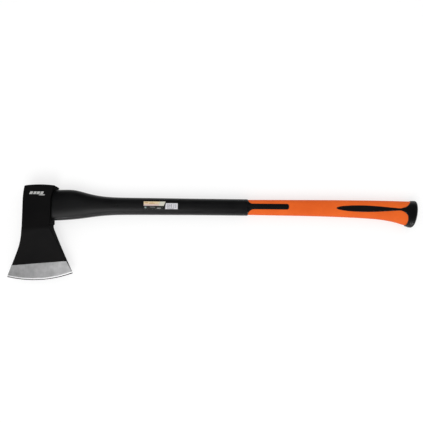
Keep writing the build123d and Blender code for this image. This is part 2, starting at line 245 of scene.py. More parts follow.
def sides_painted_shade():
    """A darker, rougher, barely reflecting copy of the head paint on the sides of the head: painted shade
    for faces turned away from the light.
    """
    t = Tree("black_sides_painted_shade")
    scale = t.noise(220, 5, 0.65)
    t.bump(scale, 0.0003, 0.5)
    return t.set(
        colour=t.blend(t.spread(scale, 0.0, 1.0), linear(5, 5, 5), linear(10, 10, 10)),
        roughness=t.spread(scale, 0.75, 0.9),
        specular=0.02,
    )


def ground_steel():
    t = Tree("ground_steel")
    streaks = t.noise(260, 4, 0.6, (1.0, 0.05, 0.3))
    mottle = t.noise(70, 4, 0.6)
    tone = t.add(t.add(streaks, 0.3, "MULTIPLY"), t.add(mottle, 0.7, "MULTIPLY"))
    t.bump(streaks, 0.00006, 0.4)
    return t.set(
        colour=t.blend(t.spread(tone, 0.0, 1.0, 0.36, 0.64), linear(168, 168, 169), linear(194, 194, 195)),
        roughness=t.spread(streaks, 0.36, 0.48),
        metallic=1.0,
    )


def honed_steel():
    t = Tree("honed_steel")
    streaks = t.noise(500, 3, 0.6, (1.0, 0.08, 0.3))
    t.bump(streaks, 0.00004, 0.3)
    return t.set(
        colour=t.blend(t.spread(streaks, 0.0, 1.0), linear(218, 218, 219), linear(236, 236, 237)),
        roughness=t.spread(streaks, 0.3, 0.42),
        metallic=0.3,
    )


def edge_nose_painted_shade():
    """The blunt last millimetre of the cutting edge, coloured dark: painted shade along the edge."""
    t = Tree("edge_nose_dark_painted_shade")
    # The dark colour here is painted shade along the edge, only faintly speckled.
    film = t.noise(420, 3)
    t.bump(film, 0.00005, 0.3)
    return t.set(
        colour=t.blend(t.spread(film, 0.0, 1.0), linear(22, 22, 23), linear(36, 36, 38)),
        roughness=t.spread(film, 0.5, 0.65),
        specular=0.05,
    )


def jacket_plastic():
    t = Tree("black_jacket_plastic")
    cloud = t.noise(9, 3)
    grain = t.noise(1500, 2)
    scuff = t.spread(t.noise(120, 5, 0.65, (0.25, 1.0, 1.0)), 0.0, 1.0, 0.62, 0.8)
    base = t.blend(t.spread(cloud, 0.0, 1.0), linear(7, 7, 8), linear(11, 11, 12))
    t.bump(grain, 0.00010, 0.3)
    return t.set(
        colour=t.blend(scuff, base, linear(19, 19, 20)),
        roughness=t.add(t.spread(t.noise(35, 3), 0.33, 0.40), t.add(scuff, 0.08, "MULTIPLY")),
        specular=0.4,
    )


def grip_rubber():
    t = Tree("orange_grip_rubber")
    cloud = t.noise(22, 4)
    grain = t.noise(1100, 2)
    base = t.blend(t.spread(cloud, 0.0, 1.0), linear(215, 89, 24), linear(225, 98, 31))
    handled = t.spread(t.noise(75, 5, 0.6), 0.0, 1.0, 0.6, 0.8)
    t.bump(grain, 0.00016, 0.45)
    return t.set(
        colour=t.blend(handled, base, linear(209, 87, 30)),
        roughness=t.spread(t.noise(45, 3), 0.55, 0.66),
        specular=0.16,
    )


def glass_fibre():
    t = Tree("glass_fibre_rod")
    strands = t.noise(700, 3, 0.6, (0.01, 1.0, 1.0))
    t.bump(strands, 0.0001, 0.4)
    return t.set(
        colour=t.blend(t.spread(strands, 0.0, 1.0), linear(196, 184, 140), linear(226, 216, 178)),
        roughness=t.spread(strands, 0.35, 0.5),
    )


def bond_resin():
    t = Tree("bond_resin")
    swirl = t.noise(140, 4)
    t.bump(t.noise(90, 3), 0.0004, 0.5)
    return t.set(
        colour=t.blend(t.spread(swirl, 0.0, 1.0), linear(92, 66, 34), linear(122, 92, 52)),
        roughness=t.spread(swirl, 0.22, 0.38),
    )


def dam_rubber():
    t = Tree("dam_rubber")
    grain = t.noise(400, 3)
    t.bump(grain, 0.0002, 0.4)
    return t.set(
        colour=t.blend(t.spread(grain, 0.0, 1.0), linear(34, 34, 35), linear(48, 48, 49)),
        roughness=t.spread(grain, 0.6, 0.75),
    )


def print_ink(name, colour, roughness=0.4):
    """Printed film or ink: the colour, slightly uneven."""
    t = Tree(name)
    speck = t.noise(600, 2)
    darker = tuple(c * 0.86 for c in colour)
    t.bump(t.noise(300, 2), 0.00005, 0.3)
    return t.set(
        colour=t.blend(t.spread(speck, 0.0, 1.0), darker, colour),
        roughness=t.spread(speck, roughness, roughness + 0.1),
    )


# ------------------------------------------------------------------ mesh helpers
def new_piece(name, points, faces, materials, picks=None, sharp=32):
    """A piece from points in mm; picks gives each face's material."""
    mesh = bpy.data.meshes.new(name)
    mesh.from_pydata([tuple(place(*p)) for p in points], [], faces)
    for material in materials:
        mesh.materials.append(material)
    if picks:
        mesh.polygons.foreach_set("material_index", picks)
    piece = bpy.data.objects.new(name, mesh)
    bpy.context.scene.collection.objects.link(piece)
    tidy(piece, sharp)
    return piece


def tidy(piece, sharp=32):
    """Merged points, outward normals, smooth faces and sharp edges where the angle is large."""
    b = bmesh.new()
    b.from_mesh(piece.data)
    bmesh.ops.remove_doubles(b, verts=b.verts, dist=2e-6)
    bmesh.ops.dissolve_degenerate(b, dist=1e-6, edges=b.edges)
    bmesh.ops.recalc_face_normals(b, faces=b.faces)
    b.to_mesh(piece.data)
    b.free()
    piece.data.polygons.foreach_set("use_smooth", [True] * len(piece.data.polygons))
    piece.data.set_sharp_from_angle(angle=radians(sharp))


def ring_faces(count, around, first=0):
    """Quads between successive rings of points."""
    faces = []
    for k in range(count - 1):
        for i in range(around):
            j = (i + 1) % around
            a, b = first + k * around, first + (k + 1) * around
            faces.append((a + i, a + j, b + j, b + i))
    return faces


def lofted(rings, points, faces):
    """Adds a closed solid through the rings, with flat ends."""
    around, first = len(rings[0]), len(points)
    for ring in rings:
        points.extend(ring)
    faces.extend(ring_faces(len(rings), around, first))
    faces.append(tuple(range(first, first + around)))
    last = first + (len(rings) - 1) * around
    faces.append(tuple(range(last, last + around)))


def boolean(piece, tool, operation):
    """Joins tool to piece, or cuts piece with it, and removes tool."""
    step = piece.modifiers.new("step", "BOOLEAN")
    step.operation = operation
    step.solver = "EXACT"
    step.object = tool
    graph = bpy.context.evaluated_depsgraph_get()
    mesh = bpy.data.meshes.new_from_object(piece.evaluated_get(graph))
    piece.modifiers.remove(step)
    piece.data = mesh
    bpy.data.objects.remove(tool)


def joined(name, pieces):
    """One mesh from several."""
    b = bmesh.new()
    for piece in pieces:
        b.from_mesh(piece.data)
    mesh = bpy.data.meshes.new(name)
    b.to_mesh(mesh)
    b.free()
    for material in pieces[0].data.materials:
        mesh.materials.append(material)
    for piece in pieces:
        bpy.data.objects.remove(piece)
    out = bpy.data.objects.new(name, mesh)
    bpy.context.scene.collection.objects.link(out)
    return out


# ------------------------------------------------------------------ sections of the handle
def slope(stations, i, column):
    a, b = stations[max(i - 1, 0)], stations[min(i + 1, len(stations) - 1)]
    return (b[column] - a[column]) / (b[0] - a[0])


def station_at(stations, x):
    """The section at x on a smooth cubic between the two stations beside it."""
    i = max(k for k in range(len(stations) - 1) if stations[k][0] <= x)
    a, b = stations[i], stations[i + 1]
    width = b[0] - a[0]
    t = (x - a[0]) / width
    values = []
    for column in range(1, 5):
        rise = (2 * t**3 - 3 * t**2 + 1) * a[column] + (3 * t**2 - 2 * t**3) * b[column]
        rise += (t**3 - 2 * t**2 + t) * width * slope(stations, i, column)
        rise += (t**3 - t**2) * width * slope(stations, i + 1, column)
        values.append(rise)
    return values


def mixed(a, b, share):
    return [p + (q - p) * share for p, q in zip(a, b)]


def ease(x, start, end):
    t = min(1.0, max(0.0, (x - start) / (end - start)))
    return t * t * (3 - 2 * t)


def oval(x, section, outset=0.0, around=AROUND):
    """A ring of points on a rounded oval; x is a number or gives x for each y."""
    top, bottom, half, square = section
    ring = []
    for i in range(around):
        angle = 2 * pi * (i + 0.5) / around
        c, s = cos(angle), sin(angle)
        along = abs(c) ** (2 / square) * (1 if c >= 0 else -1)
        up = abs(s) ** (2 / square) * (1 if s >= 0 else -1)
        y = (top + bottom) / 2 + along * ((top - bottom) / 2 + outset)
        at = x(y) if callable(x) else x
        ring.append((at, y, MID + up * (half + outset)))
    return ring


def steps(start, end, pitch):
    count = max(1, round((end - start) / pitch))
    return [start + (end - start) * i / count for i in range(count + 1)]


# ------------------------------------------------------------------ outlines seen from the side
def corner_arc(centre, radius, start, end, count=14):
    return [
        (
            centre[0] + radius * cos(radians(start + (end - start) * i / count)),
            centre[1] + radius * sin(radians(start + (end - start) * i / count)),
        )
        for i in range(count + 1)
    ]


def front_outline(grow=0.0):
    """The black shaft and the straight inlay, grown by a clearance."""
    start, end = GRIP_START + grow, INLAY_END + grow
    half, tip = INLAY_HALF + grow, TIP_RADIUS + grow
    upper, lower = INLAY_Y + half, INLAY_Y - half
    points = [(start - 500, -60.0), (start, -60.0)]
    root = LOWER_ROOT - grow
    points += corner_arc((start + root, lower - root), root, 180, 90)
    points += corner_arc((end - tip, lower + tip), tip, -90, 0)
    points += corner_arc((end - tip, upper - tip), tip, 0, 90)
    root = UPPER_ROOT - grow
    points += corner_arc((start + root, upper + root), root, 270, 180)
    points += [(start, 60.0), (start - 500, 60.0)]
    return points


def spear_half(x):
    if x < SPEAR_WIDEST:
        t = (SPEAR_WIDEST - x) / (SPEAR_WIDEST - SPEAR_TIP)
        return SPEAR_HALF * max(0.0, 1 - t * t) ** 0.5
    t = (x - SPEAR_WIDEST) / (SPEAR_WAIST - SPEAR_WIDEST)
    return WAIST_HALF + (SPEAR_HALF - WAIST_HALF) * (1 - t * t) ** 1.5


def spear_middle(x):
    return SPEAR_TIP_Y + (x - SPEAR_TIP) / (SPEAR_WAIST - SPEAR_TIP) * (WAIST_Y - SPEAR_TIP_Y)


def through(points, per_span=6):
    """A smooth run through points."""
    out = []
    for i in range(len(points) - 1):
        p0, p1 = points[max(i - 1, 0)], points[i]
        p2, p3 = points[i + 1], points[min(i + 2, len(points) - 1)]
        for k in range(per_span):
            t = k / per_span
            out.append(
                tuple(
                    0.5 * (2 * b + (c - a) * t + (2 * a - 5 * b + 4 * c - d) * t**2
                           + (3 * b - a - 3 * c + d) * t**3)
                    for a, b, c, d in zip(p0, p1, p2, p3)
                )
            )
    return [*out, points[-1]]


def rear_outline(grow=0.0):
    """The spear-shaped inlay and the knob, grown by a clearance."""
    xs = [SPEAR_TIP + (1 - cos(pi / 2 * i / 16)) * (SPEAR_WIDEST - SPEAR_TIP) for i in range(1, 17)]
    xs += [SPEAR_WIDEST + i / 24 * (SPEAR_WAIST - SPEAR_WIDEST) for i in range(1, 25)]
    upper = [(x, spear_middle(x) + spear_half(x)) for x in reversed(xs)]
    lower = [(x, spear_middle(x) - spear_half(x)) for x in xs]
    to_top = through([upper[0], *KNOB_UPPER_EDGE])[::-1]
    to_bottom = through([lower[-1], *KNOB_LOWER_EDGE])
    run = to_top + upper[1:] + [(SPEAR_TIP, SPEAR_TIP_Y)] + lower[:-1] + to_bottom
    if grow:
        moved = []
        for i, p in enumerate(run):
            a, b = run[max(i - 1, 0)], run[min(i + 1, len(run) - 1)]
            d = Vector((b[0] - a[0], b[1] - a[1])).normalized()
            moved.append((p[0] + d.y * grow, p[1] - d.x * grow))
        run = moved
    beyond = KNOB_TIP[0] + 60
    return [(beyond, KNOB_UPPER_EDGE[-1][1]), *run, (beyond, KNOB_LOWER_EDGE[-1][1])]


def prism(outline):
    """The outline pulled through the whole thickness, for cutting."""
    count, far = len(outline), 60
    points = [(x, y, MID - far) for x, y in outline] + [(x, y, MID + far) for x, y in outline]
    faces = [tuple(range(count)), tuple(range(count, 2 * count))]
    faces += [(i, (i + 1) % count, (i + 1) % count + count, i + count) for i in range(count)]
    return new_piece("cutter", points, faces, [])


# ------------------------------------------------------------------ handle jacket
def inlay_section(x):
    """The soft grip's section, raised all round by what the inlays stand proud."""
    top, bottom, half, square = station_at(GRIP, x)
    return [top + INLAY_PROUD, bottom - INLAY_PROUD, half + INLAY_PROUD, square]


def shaft_section(x):
    """The shaft, easing down at its end into the inlay that stands in the soft grip."""
    raised = inlay_section(max(x, GRIP[0][0]))
    if x > SHAFT_STEP[1]:
        return raised
    return mixed(station_at(SHAFT, x), raised, ease(x, *SHAFT_STEP))


def rear_section(x):
    """The spear-shaped inlay, swelling into the knob."""
    raised = inlay_section(min(x, GRIP[-1][0] - 0.1))
    if x < KNOB_SWELL[0]:
        return raised
    return mixed(raised, station_at(KNOB, x), ease(x, *KNOB_SWELL))


def dome_x(s):
    """Knob end: rings turn from flat to the domed, leaning end face."""
    share = ease(s, *DOME_TURN)

    def at(y):
        return s + share * (sqrt(DOME_RADIUS**2 - (y - KNOB_TIP[1]) ** 2) - DOME_RADIUS)

    return at


def knob_rings():
    shoulder = KNOB_TIP[0] - KNOB_ROUND
    base = rear_section(shoulder)
    rings = [oval(dome_x(s), rear_section(s)) for s in steps(REAR_START, shoulder - 0.5, 1.6)]
    for i in range(1, 11):
        angle = pi / 2 * i / 10
        rings.append(oval(dome_x(shoulder + KNOB_ROUND * sin(angle)), base, -KNOB_ROUND * (1 - cos(angle))))
    top, bottom, half = base[0] - KNOB_ROUND, base[1] + KNOB_ROUND, base[2] - KNOB_ROUND
    middle = (top + bottom) / 2
    for share in (0.9, 0.75, 0.6, 0.45, 0.3, 0.15, 0.03):
        shrunk = [middle + (top - middle) * share, middle + (bottom - middle) * share, half * share, base[3]]
        rings.append(oval(dome_x(KNOB_TIP[0]), shrunk))
    return rings


def eye_section(x, inset=0.0):
    share = (x - BACK_X) / (RIM_X - BACK_X)
    depth = EYE_BACK[0] + share * (EYE_MOUTH[0] - EYE_BACK[0]) - inset
    half = EYE_BACK[1] + share * (EYE_MOUTH[1] - EYE_BACK[1]) - inset
    return [EYE_Y + depth, EYE_Y - depth, half, 2.3]


def tongue(materials):
    """The end of the jacket that sits in the eye."""
    points, faces = [], []
    xs = steps(TONGUE_START, TONGUE_END, 3.0)
    lofted([oval(x, eye_section(x, RESIN_GAP)) for x in xs], points, faces)
    return new_piece("tongue", points, faces, materials)


def rod_copy():
    """A copy of the core rod, to cut the space it fills."""
    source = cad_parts["core_rod"]
    copy = bpy.data.objects.new("cutter", source.data.copy())
    copy.matrix_world = source.matrix_world
    bpy.context.scene.collection.objects.link(copy)
    tidy(copy)
    return copy


def build_jacket(material):
    points, faces = [], []
    xs = steps(94.2, 220, 2.0) + steps(222, 520, 4.0) + steps(521, 531, 0.5) + steps(533, 620, 3.0)
    lofted([oval(x, shaft_section(x)) for x in xs], points, faces)
    jacket = new_piece("handle_jacket_skin", points, faces, [material])
    boolean(jacket, prism(front_outline()), "INTERSECT")

    points, faces = [], []
    lofted(knob_rings(), points, faces)
    knob = new_piece("knob", points, faces, [material])
    boolean(knob, prism(rear_outline()), "INTERSECT")

    for side in (1, -1):
        circle = corner_arc((PIN_X, 0.0), PIN_RADIUS, 0, 360, 40)[:-1]
        points, faces = [], []
        depths = (PIN_FLOOR, PIN_FLOOR + 40)
        lofted([[(x, y, MID + side * z) for x, y in circle] for z in depths], points, faces)
        boolean(jacket, new_piece("cutter", points, faces, []), "DIFFERENCE")

    points, faces = [], []
    xs = steps(CORE_START, CORE_END, 4.0)
    lofted([oval(x, station_at(GRIP, x), -SLEEVE_WALL) for x in xs], points, faces)
    boolean(jacket, new_piece("under_grip", points, faces, [material]), "UNION")
    boolean(jacket, knob, "UNION")
    boolean(jacket, tongue([material]), "UNION")
    boolean(jacket, rod_copy(), "DIFFERENCE")
    tidy(jacket, 34)
    return jacket


def build_sleeve(material):
    """The soft grip: a sleeve with softly rounded ends and windows for the inlays."""
    rings = []
    xs = [SLEEVE_START + step for step in (0.0, 0.2, 0.6, LIP_LENGTH)] + steps(527, SLEEVE_END, 2.5)
    for x in xs:
        rounding = LIP_DROP * (1 - min(1.0, (x - SLEEVE_START) / LIP_LENGTH)) ** 2
        rings.append(oval(x, station_at(GRIP, x), -rounding))
    rings += [oval(x, station_at(GRIP, x), -SLEEVE_WALL - 0.05) for x in reversed(xs)]
    points = [point for ring in rings for point in ring]
    faces = ring_faces(len(rings), AROUND)
    last = (len(rings) - 1) * AROUND
    for i in range(AROUND):
        j = (i + 1) % AROUND
        faces.append((last + i, last + j, j, i))
    sleeve = new_piece("grip_sleeve_skin", points, faces, [material])
    boolean(sleeve, prism(front_outline(GROOVE)), "DIFFERENCE")
    boolean(sleeve, prism(rear_outline(GROOVE)), "DIFFERENCE")
    tidy(sleeve, 34)
    return sleeve


# ------------------------------------------------------------------ head
def tangent_arc(a, direction, b, count):
    """An arc that leaves a along direction and ends at b."""
    d = Vector(direction).normalized()
    chord = Vector((b[0] - a[0], b[1] - a[1]))
    normal = Vector((-d.y, d.x))
    radius = chord.length_squared / (2 * chord.dot(normal))
    centre = Vector(a) + normal * radius
    start = Vector(a) - centre
    turn = 2 * atan2(chord.dot(normal), chord.dot(d))
    out = []
    for i in range(count + 1):
        angle = turn * i / count
        out.append(tuple(centre + Matrix.Rotation(angle, 2) @ start))
    return out


def left_outline():
    sweep = (TOE_SWEEP[0] - BEVEL_TOE_SIDE[0], TOE_SWEEP[1] - BEVEL_TOE_SIDE[1])
    out = [BEVEL_TOE_SIDE]
    out += tangent_arc(TOE_SWEEP, sweep, (BACK_X, BACK_BEND_Y), 24)
    return out + tangent_arc((BACK_X, 8.0), (0, 1), POLL_BACK, 12)


def right_outline():
    out = [BEVEL_HEEL_SIDE]
    out += tangent_arc((NOTCH_X, -43.0), (0, -1), HEEL_SWEEP, 12)[::-1]
    out += [(NOTCH_X, -42.0), (RIM_X - 0.7, -41.2), (RIM_X, -40.2)]
    out += tangent_arc((RIM_X, 8.0), (0, 1), POLL_RIM, 14)
    return out


def x_at(outline, y):
    """Where an outline that always climbs in y crosses the height y."""
    for a, b in zip(outline, outline[1:]):
        if a[1] <= y <= b[1] and b[1] > a[1]:
            return a[0] + (b[0] - a[0]) * (y - a[1]) / (b[1] - a[1])
    return outline[0][0] if y < outline[0][1] else outline[-1][0]


def half_at(distance):
    """Half thickness of the head at a distance above the bevel line."""
    if distance >= CHEEK_START:
        return MID
    if distance >= HOLLOW_END[0]:
        t = (distance - HOLLOW_END[0]) / (CHEEK_START - HOLLOW_END[0])
        return HOLLOW_END[1] + (MID - HOLLOW_END[1]) * (1 - (1 - t) ** 2)
    t = distance / HOLLOW_END[0]
    return BEVEL_HALF + (HOLLOW_END[1] - BEVEL_HALF) * t - HOLLOW_SAG * 4 * t * (1 - t)


def head_ring(left, right, sag, half, corner, inset=0.0):
    """One row of the head: a rounded bar from left to right, bowed by sag towards -Y."""
    a, b = Vector(left), Vector(right)
    along = (b - a).normalized()
    across = Vector((along.y, -along.x))
    a, b = a + along * inset, b - along * inset
    half = half - inset
    corner = min(corner, half * 0.9)
    length = (b - a).length
    section = []
    for i in range(COLUMNS + 1):
        section.append((corner + (length - 2 * corner) * i / COLUMNS, half))
    for i in range(1, 5):
        angle = pi / 2 * i / 5
        section.append((length - corner + corner * sin(angle), half - corner + corner * cos(angle)))
    for i in range(WALL + 1):
        section.append((length, (half - corner) * (1 - 2 * i / WALL)))
    for i in range(1, 5):
        angle = pi / 2 * i / 5
        section.append((length - corner + corner * cos(angle), -half + corner - corner * sin(angle)))
    side = len(section)
    section += [(length - s, -z) for s, z in section]
    ring = []
    for s, z in section:
        u = s / length
        p = a + along * s + across * (sag * 4 * u * (1 - u))
        ring.append((p.x, p.y, MID + z))
    return ring, side


def end_cap(ring, side, first, points, faces):
    """Closes a ring with a grid between its two long sides."""
    walls = side - COLUMNS - 1
    top = list(range(COLUMNS + 1))
    bottom = [side + COLUMNS - i for i in range(COLUMNS + 1)]
    rights = [COLUMNS + 1 + k for k in range(walls)]
    lefts = [2 * side - 1 - k for k in range(walls)]
    grid = [[first + i for i in top]]
    for k in range(walls):
        row = [first + lefts[k]]
        p_left, p_right = Vector(ring[lefts[k]]), Vector(ring[rights[k]])
        share = (k + 1) / (walls + 1)
        for i in range(1, COLUMNS):
            u = i / COLUMNS
            p = Vector(ring[top[i]]).lerp(Vector(ring[bottom[i]]), share)
            p += (p_left - Vector(ring[top[0]]).lerp(Vector(ring[bottom[0]]), share)) * (1 - u)
            p += (p_right - Vector(ring[top[-1]]).lerp(Vector(ring[bottom[-1]]), share)) * u
            row.append(len(points))
            points.append(tuple(p))
        row.append(first + rights[k])
        grid.append(row)
    grid.append([first + i for i in bottom])
    for a, b in zip(grid, grid[1:]):
        for i in range(COLUMNS):
            faces.append((a[i], a[i + 1], b[i + 1], b[i]))


# Surfaces of the head, in the order of its materials.
PAINT, GROUND, HONED, NOSE, SHADED_SIDES, MARK = range(6)


def bevel_rows():
    """Rows of the bare steel from the cutting edge up: left, right, bow, half thickness, corner, inset."""

    def inner(corner, towards, width):
        side = Vector((towards[0] - corner[0], towards[1] - corner[1])).normalized() * width
        return (corner[0] + side.x, corner[1] + side.y)

    nose_in = inner(TOE, BEVEL_TOE_SIDE, NOSE_WIDTH), inner(HEEL, BEVEL_HEEL_SIDE, NOSE_WIDTH)
    toe_in, heel_in = inner(TOE, BEVEL_TOE_SIDE, MICRO_WIDTH), inner(HEEL, BEVEL_HEEL_SIDE, MICRO_WIDTH)
    toe, heel = inner(TOE, BEVEL_TOE_SIDE, -NOSE_REACH), inner(HEEL, BEVEL_HEEL_SIDE, -NOSE_REACH)
    rows = [
        # The first row is the blunt nose, which carries the dark painted shade of the edge.
        (toe, heel, EDGE_SAGITTA, EDGE_HALF, 0.12, 0.0, NOSE),
        (*nose_in, EDGE_SAGITTA, NOSE_HALF, 0.13, 0.0, HONED),
        (toe_in, heel_in, EDGE_SAGITTA, MICRO_HALF, 0.15, 0.0, GROUND),
    ]
    for i in range(1, 15):
        t = i / 14
        a = Vector(toe_in).lerp(Vector(BEVEL_TOE_SIDE), t)
        b = Vector(heel_in).lerp(Vector(BEVEL_HEEL_SIDE), t)
        half = MICRO_HALF + (BEVEL_HALF - MICRO_HALF) * t
        metal = GROUND if i < 14 else PAINT
        rows.append((tuple(a), tuple(b), EDGE_SAGITTA * (1 - t), half, 0.15 + 0.55 * t, 0.0, metal))
    return rows


def cheek_rows():
    """Rows of the painted head from the bevel line to the poll."""
    left, right = left_outline(), right_outline()
    along = (Vector(BEVEL_HEEL_SIDE) - Vector(BEVEL_TOE_SIDE)).normalized()
    up = Vector((-along.y, along.x))

    def cross(outline, distance):
        """Where the line at a distance above the bevel line crosses an outline."""
        foot = Vector(BEVEL_TOE_SIDE) + up * distance
        for a, b in zip(outline, outline[1:]):
            da, db = (Vector(a) - foot).dot(up), (Vector(b) - foot).dot(up)
            if da <= 0 < db:
                t = da / (da - db)
                return (a[0] + (b[0] - a[0]) * t, a[1] + (b[1] - a[1]) * t)
        return outline[-1]

    rows = []
    for distance in steps(0, CHEEK_START, 1.5)[1:]:
        rows.append((cross(left, distance), cross(right, distance), 0.0, half_at(distance), 0.9, 0.0, PAINT))
    (_, left_y), (_, right_y) = rows[-1][:2]
    # Rows lie close together round the notch under the rim.
    heights = steps(right_y, -43.2, 1.0)[1:] + [-42.6, -42.0, -41.6, -41.2, -40.8, -40.2, -39.4]
    heights += steps(-38, POLL_RIM[1] - POLL_CORNER - 0.6, 2.0)
    for y in heights:
        y_left = left_y + (POLL_BACK[1] - left_y) * (y - right_y) / (POLL_RIM[1] - right_y)
        bow = -POLL_BOW * ease(y, 0, 42)
        rows.append(((x_at(left, y_left), y_left), (x_at(right, y), y), bow, MID, 0.9, 0.0, PAINT))
    for i in range(13):
        angle = pi / 2 * i / 12
        drop = POLL_CORNER * (1 - sin(angle))
        inset = POLL_CORNER * (1 - cos(angle)) * 0.8
        y_right, y_left = POLL_RIM[1] - drop, POLL_BACK[1] - drop
        a, b = (x_at(left, y_left), y_left), (x_at(right, y_right), y_right)
        rows.append((a, b, -POLL_BOW, MID, 0.9 + 1.2 * i / 12, inset, PAINT))
    return rows


def printed_mark():
    """Plain slanted blocks printed on the cheek, over a short bar."""
    points, faces = [], []
    blocks = [(47.6, 54.0), (56.0, 61.5), (63.0, 69.5), (71.0, 77.0)]
    bars = [(*block, 22.4, 28.2) for block in blocks] + [(68.6, 81.0, 19.9, 21.7)]
    for left, right, low, high in bars:
        first = len(points)
        lean = (high - low) * 0.45
        for z in (2 * MID - 0.02, 2 * MID + 0.12):
            points += [(left, low, z), (right, low, z), (right + lean, high, z), (left + lean, high, z)]
        faces += [tuple(first + i for i in range(4)), tuple(first + 4 + i for i in range(4))]
        faces += [(first + i, first + (i + 1) % 4, first + (i + 1) % 4 + 4, first + i + 4) for i in range(4)]
    return points, faces


def build_head(metals):
    rows = bevel_rows() + cheek_rows()
    points, picks, rings = [], [], []
    for *shape, _ in rows:
        ring, side = head_ring(*shape)
        rings.append(ring)
        points.extend(ring)
    around = len(rings[0])
    faces = ring_faces(len(rings), around)
    # Side walls take the darker side paint, which is painted shade; the poll's end and the eye take it too.
    for row in rows[:-1]:
        for i in range(around):
            picks.append(SHADED_SIDES if COLUMNS <= i % side and row[-1] in (PAINT, GROUND) else row[-1])
    end_cap(rings[0], side, 0, points, faces)
    picks += [NOSE] * (len(faces) - len(picks))
    end_cap(rings[-1], side, (len(rings) - 1) * around, points, faces)
    picks += [SHADED_SIDES] * (len(faces) - len(picks))
    head = new_piece("head", points, faces, metals, picks, 30)

    points, faces = [], []
    lofted([oval(x, eye_section(x)) for x in (10.0, 33.0, 64.0, 95.0, 125.0)], points, faces)
    boolean(head, new_piece("cutter", points, faces, [metals[SHADED_SIDES]]), "DIFFERENCE")
    points, faces = printed_mark()
    mark = new_piece("mark", points, faces, metals, [MARK] * len(faces))
    head = joined("axe_head_skin", [head, mark])
    tidy(head, 30)
    return head


# ------------------------------------------------------------------ resin in the eye
def build_resin(material):
    """Resin round the tongue; its free face at the back dips to a soft meniscus."""
    points, faces = [], []
    xs = [RESIN_BACK, *steps(36.2, RESIN_MOUTH, 6.0)]
    rings = [oval(x, eye_section(x), -EYE_CLEARANCE) for x in reversed(xs)]
    meniscus = (
        (0.985, 0.1), (0.96, 0.35), (0.92, 0.6), (0.85, 0.8),
        (0.7, 0.95), (0.45, 1.05), (0.2, 1.1), (0.05, 1.1),
    )
    for share, dip in meniscus:
        x = RESIN_BACK + dip
        top, bottom, half, square = eye_section(x)
        middle = (top + bottom) / 2
        shrunk = [middle + (top - middle) * share, middle + (bottom - middle) * share, half * share, square]
        rings.append(oval(x, shrunk))
    lofted(rings, points, faces)
    plug = new_piece("eye_resin_skin", points, faces, [material], None, 50)
    boolean(plug, tongue([material]), "DIFFERENCE")
    tidy(plug, 50)
    return plug


# ------------------------------------------------------------------ labels
def shaft_height(x, y):
    """Height of the shaft's upper surface above its middle."""
    top, bottom, half, square = station_at(SHAFT, x)
    middle, reach = (top + bottom) / 2, (top - bottom) / 2
    return half * (1 - min(1.0, abs(y - middle) / reach) ** square) ** (1 / square)


def build_label(name, columns, rows, edge_left, edge_right, pick, materials):
    """A film on the shaft; grid lines follow the borders of what is printed."""
    points, faces, picks = [], [], []
    for layer in (FILM_TOP, FILM_FOOT):
        for y in rows:
            start, end = edge_left(y), edge_right(y)
            for u in columns:
                x = start + (end - start) * u
                points.append((x, y, MID + shaft_height(x, y) + layer))
    wide, tall = len(columns), len(rows)
    for layer in (0, 1):
        base = layer * wide * tall
        for r in range(tall - 1):
            for c in range(wide - 1):
                a = base + r * wide + c
                faces.append((a, a + 1, a + 1 + wide, a + wide))
                u = (columns[c] + columns[c + 1]) / 2
                y = (rows[r] + rows[r + 1]) / 2
                picks.append(pick(u, y) if layer == 0 else 0)
    rim = [r * wide for r in range(tall)] + [(tall - 1) * wide + c for c in range(1, wide)]
    rim += [r * wide + wide - 1 for r in range(tall - 2, -1, -1)] + list(range(wide - 2, 0, -1))
    base = wide * tall
    for a, b in zip(rim, rim[1:] + rim[:1]):
        faces.append((a, b, b + base, a + base))
        picks.append(0)
    return new_piece(name, points, faces, materials, picks, 40)


def grid_lines(start, end, marks, pitch):
    """Evenly spaced lines that also hit every mark."""
    marks = sorted({start, end, *[m for m in marks if start < m < end]})
    out = [start]
    for a, b in zip(marks, marks[1:]):
        out += steps(a, b, pitch)[1:]
    return out


def build_product_label(film, cream, amber, blush, dark, teal, grey):
    """Warm picture band above a dark foot with a few plain blocks."""
    # Each block: from and to along the label, from and to across it, and which ink.
    blocks = [
        (0.05, 0.20, 6.2, 8.6, 2), (0.26, 0.52, 4.6, 6.2, 2), (0.30, 0.46, 7.2, 8.2, 2),
        (0.36, 0.62, 2.0, 3.4, 3), (0.66, 0.80, 6.4, 7.6, 0), (0.05, 0.14, -5.0, -1.4, 5),
        (0.70, 0.90, -6.2, -3.4, 6), (0.34, 0.58, -3.0, -1.8, 6),
    ]
    marks_x = [v for b in blocks for v in b[:2]] + [0.75]
    marks_y = [v for b in blocks for v in b[2:4]] + [0.6, 4.0]

    def pick(u, y):
        for x0, x1, y0, y1, kind in blocks:
            if x0 < u < x1 and y0 < y < y1:
                return kind
        if y < 0.6:
            return 4
        if u > 0.75:
            return 0
        return 1 if y > 4.0 else 3

    return build_label(
        "product_label_skin",
        grid_lines(0.0, 1.0, marks_x, 0.04),
        grid_lines(*PRODUCT_Y, marks_y, 0.7),
        lambda y: PRODUCT_X[0],
        lambda y: PRODUCT_X[1] + (y - PRODUCT_Y[0]) / (PRODUCT_Y[1] - PRODUCT_Y[0]) * PRODUCT_LEAN,
        pick,
        [film, cream, amber, blush, dark, teal, grey],
    )


